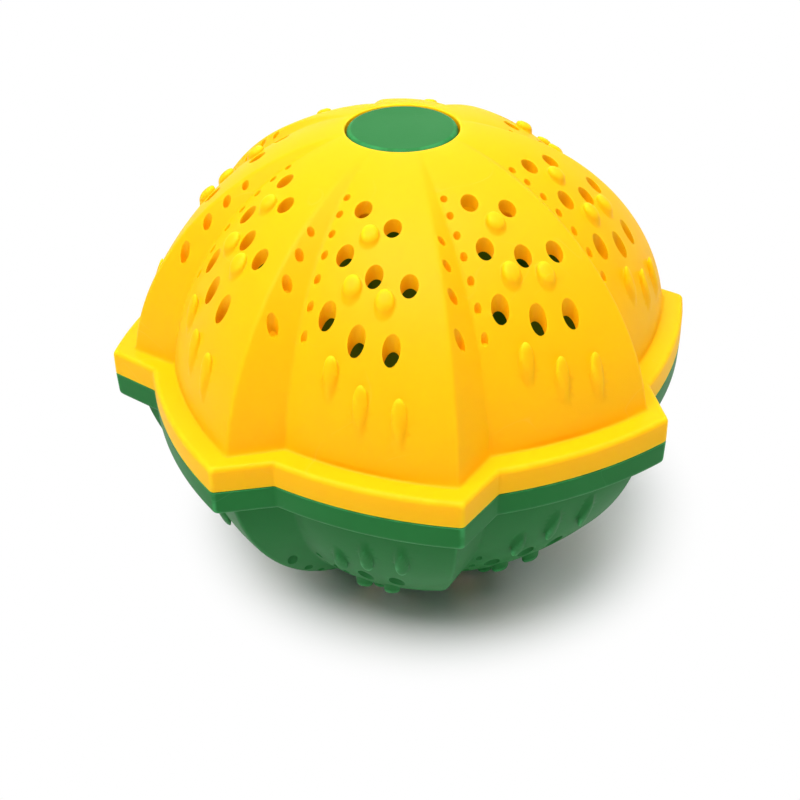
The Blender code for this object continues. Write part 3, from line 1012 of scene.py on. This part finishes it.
# Caps and magnets, as (radius, height over the seam) from the axis over the outer side and back
capSize = {
    "top": 41.9,
    "radius": 9.15,
    "edge": 0.8,
    "edgeCuts": 7,
    "hold": 0.15,
    "faceRings": (0, 3, 6, 8),
    "skirtFoot": 39.5,
    "skirtInner": 7.95,
    "footEdge": 0.25,
    "footEase": 0.07,
    "corner": 0.1,
    "underside": 40.7,
    "undersideRing": 4,
}
magnetSize = {"top": 40.4, "foot": 37.4, "radius": 7.0, "edge": 0.3, "hold": 0.1, "faceRing": 4}
turnedSteps = 128
turnedJoin = 2e-6

def capProfile():
    size = capSize
    radius, top, edge, hold = size["radius"], size["top"], size["edge"], size["hold"]
    foot, inner, under, corner = size["skirtFoot"], size["skirtInner"], size["underside"], size["corner"]
    points = [(out, top) for out in size["faceRings"]]
    points += [(radius - edge - hold, top), (radius - edge, top)]
    points += quarter(radius - edge, radius, top, top - edge, size["edgeCuts"], True)
    points += [(radius, top - edge), (radius, top - edge - hold), (radius, foot + size["footEdge"])]
    points += [(radius - size["footEase"], foot + size["footEase"]), (radius - size["footEdge"], foot)]
    points += [(inner + corner, foot), (inner, foot + corner), (inner, under - corner), (inner - corner, under)]
    return points + [(size["undersideRing"], under), (0, under)]

def magnetProfile():
    size = magnetSize
    radius, top, foot, edge, hold = size["radius"], size["top"], size["foot"], size["edge"], size["hold"]
    face = size["faceRing"]
    return [
        (0, top), (face, top), (radius - edge - hold, top), *easedEdge(radius, top, -edge, -edge),
        (radius, top - edge - hold), (radius, foot + edge + hold), *easedEdge(radius, foot, -edge, edge)[::-1],
        (radius - edge - hold, foot), (face, foot), (0, foot),
    ]

def sliver(name, profile):
    # one step of a turned piece
    turns = (0, math.tau / turnedSteps)
    places = [(r * math.cos(t) * mm, r * math.sin(t) * mm, z * mm) for t in turns for r, z in profile]
    count = len(profile)
    faces = []
    for i in range(count - 1):
        corners = [i, i + 1, count + i + 1, count + i]
        if profile[i][0] == 0:
            corners.remove(count + i)
        if profile[i + 1][0] == 0:
            corners.remove(count + i + 1)
        faces.append(corners)
    mesh = bpy.data.meshes.new(name)
    mesh.from_pydata(places, [], faces)
    mesh.shade_smooth()
    return mesh

for half, capFinish, capSlot in (("upper", green, "green_plastic"), ("lower", yellow, "yellow_plastic")):
    for kind, profile, finish, slot in (
        ("cap", capProfile(), capFinish, capSlot),
        ("magnet", magnetProfile(), ferrite, "ferrite"),
    ):
        values = {"Copies": turnedSteps, "Join Distance": turnedJoin, "Material": finish}
        finishTurned(f"{half}_{kind}_turned", sliver(kind, profile), values, half, f"{half}_{kind}")

# Beads
beads = {"Radius": 3.25 * mm, "Unevenness": 0.22 * mm, "Bump Scale": 260.0, "Fineness": 4, "Seed": 11}

def pourTree():
    # uneven fired balls on given points, each one turned its own way
    tree, given, out = geometryTree(
        "pouredBeads",
        [("Radius", "Float"), ("Unevenness", "Float"), ("Bump Scale", "Float"),
         ("Fineness", "Int"), ("Seed", "Int")],
    )
    ball = put(tree, "GeometryNodeMeshIcoSphere", Radius=given["Radius"], Subdivisions=given["Fineness"])
    turn = put(tree, "FunctionNodeRandomValue", {"data_type": "FLOAT_VECTOR"}, i1=(math.tau, math.tau, math.tau),
               Seed=given["Seed"])
    placed = put(tree, "GeometryNodeInstanceOnPoints", Points=given["Geometry"], Instance=ball.outputs["Mesh"],
                 Rotation=turn.outputs[0])
    real = put(tree, "GeometryNodeRealizeInstances", Geometry=placed.outputs[0])
    dents = put(tree, "ShaderNodeTexNoise", Scale=given["Bump Scale"], Detail=2.0)
    deep = calc(tree, "MULTIPLY", calc(tree, "MULTIPLY", dents.outputs[0], given["Unevenness"]), -1.0)
    normal = put(tree, "GeometryNodeInputNormal")
    offset = put(tree, "ShaderNodeVectorMath", {"operation": "SCALE"}, i0=normal.outputs[0], Scale=deep)
    dented = put(tree, "GeometryNodeSetPosition", Geometry=real.outputs[0], Offset=offset.outputs[0])
    soft = put(tree, "GeometryNodeSetShadeSmooth", Geometry=dented.outputs[0])
    done = put(tree, "GeometryNodeSetMaterial", Geometry=soft.outputs[0], Material=given["Material"])
    link(tree, done.outputs[0], out["Geometry"])
    return tree

pouring = pourTree()
for kind, colours in clays.items():
    names = [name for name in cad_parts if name.startswith(f"bead_{kind}_")]
    boxes = [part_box(name) for name in names]
    centres = bpy.data.meshes.new(f"{kind}_centres")
    centres.from_pydata([(low + high) / 2 for low, high in boxes], [], [])
    values = {**beads, "Material": pressedPowder(f"{kind}Clay", claySurface, colours)}
    mesh = grown(f"beads_{kind}", centres, pouring, values)
    finishPiece(f"beads_{kind}", mesh, "bead_heap", names)

# Camera at the photograph's place
cameraData = bpy.data.cameras.new("photoCamera")
cameraData.lens = 58.06
cameraData.sensor_width = 36
camera = newObject("photoCamera", cameraData)
cameraSpot = Vector((-0.0310145, -0.1947404, 0.1690248))
cameraAxes = Matrix((  # right, up and back
    (0.98661825, -0.16225776, -0.01602634),
    (0.10674315, 0.56848712, 0.81573788),
    (-0.12324903, -0.80653259, 0.57819967),
))
camera.matrix_world = Matrix.LocRotScale(cameraSpot, cameraAxes.transposed().to_quaternion(), None)
scene.camera = camera

# Floor, which fades to white for the camera away from the ball
studio = {
    "floorHalf": 3,
    "floorTone": (0.86, 0.86, 0.86, 1),
    "speckTone": (0.7, 0.7, 0.7, 1),
    "speckScale": 900.0,
    "speckShare": 0.04,
    "floorRoughness": 0.7,
    "floorGloss": 0.2,
    "shadowMiddle": (0.008, 0.008, 0),
    "fadeStart": 0.035,
    "fadeEnd": 0.055,
    "world": 0.17,
    "aim": (0, 0, 0.04),
}
lamps = {  # place, size and power
    "overhead": ((-0.08, -0.18, 0.85), 0.6, 6.6),
    "leftSoftbox": ((-0.46, -0.16, 0.72), 0.45, 3.1),
    "rightSoftbox": ((0.45, -0.07, 0.72), 0.45, 1.85),
    "behindSoftbox": ((0.1, 0.6, 0.6), 0.45, 1.2),
}

def seenRay(tree):
    # 1 for rays that should meet the white background
    path = put(tree, "ShaderNodeLightPath").outputs
    both = calc(tree, "MAXIMUM", path["Is Camera Ray"], path["Is Glossy Ray"])
    return calc(tree, "MAXIMUM", both, path["Is Transmission Ray"])

def floorMaterial():
    made, tree, shader, spot = newMaterial("paleFloor")
    shader.inputs["Roughness"].default_value = studio["floorRoughness"]
    shader.inputs["Specular IOR Level"].default_value = studio["floorGloss"]
    speck = scaled(tree, noise(tree, spot, studio["speckScale"], 3.0), studio["speckShare"])
    link(tree, mix(tree, speck, studio["floorTone"], studio["speckTone"]), shader.inputs["Base Color"])
    away = put(tree, "ShaderNodeVectorMath", {"operation": "DISTANCE"}, i0=spot, i1=studio["shadowMiddle"])
    fade = mapped(tree, away.outputs["Value"], studio["fadeStart"], studio["fadeEnd"], True)
    share = calc(tree, "MULTIPLY", fade, seenRay(tree))
    white = put(tree, "ShaderNodeEmission", Color=(1, 1, 1, 1), Strength=1.0)
    blend = put(tree, "ShaderNodeMixShader", i0=share, i1=shader.outputs[0], i2=white.outputs[0])
    link(tree, blend.outputs[0], tree.nodes["Material Output"].inputs["Surface"])
    return made

reach = studio["floorHalf"]
floorMesh = bpy.data.meshes.new("floor")
corners = [(-reach, -reach, 0), (reach, -reach, 0), (reach, reach, 0), (-reach, reach, 0)]
floorMesh.from_pydata(corners, [], [(0, 1, 2, 3)])
floorMesh.materials.append(floorMaterial())
floor = newObject("floor", floorMesh)

for name, (lampSpot, size, power) in lamps.items():
    data = bpy.data.lights.new(name, "AREA")
    data.shape = "SQUARE"
    data.size = size
    data.energy = power
    lamp = newObject(name, data)
    lamp.location = lampSpot
    lamp.rotation_euler = (Vector(studio["aim"]) - Vector(lampSpot)).to_track_quat("-Z", "Y").to_euler()
world = bpy.data.worlds.new("studio")
scene.world = world
world.use_nodes = True
worldTree = world.node_tree
sky = worldTree.nodes["Background"]
sky.inputs["Color"].default_value = (1, 1, 1, 1)
strength = scaled(worldTree, seenRay(worldTree), 1 - studio["world"], studio["world"])
link(worldTree, strength, sky.inputs["Strength"])
scene.view_settings.view_transform = "Standard"
print("studio lit by", len(lamps), "lamps")
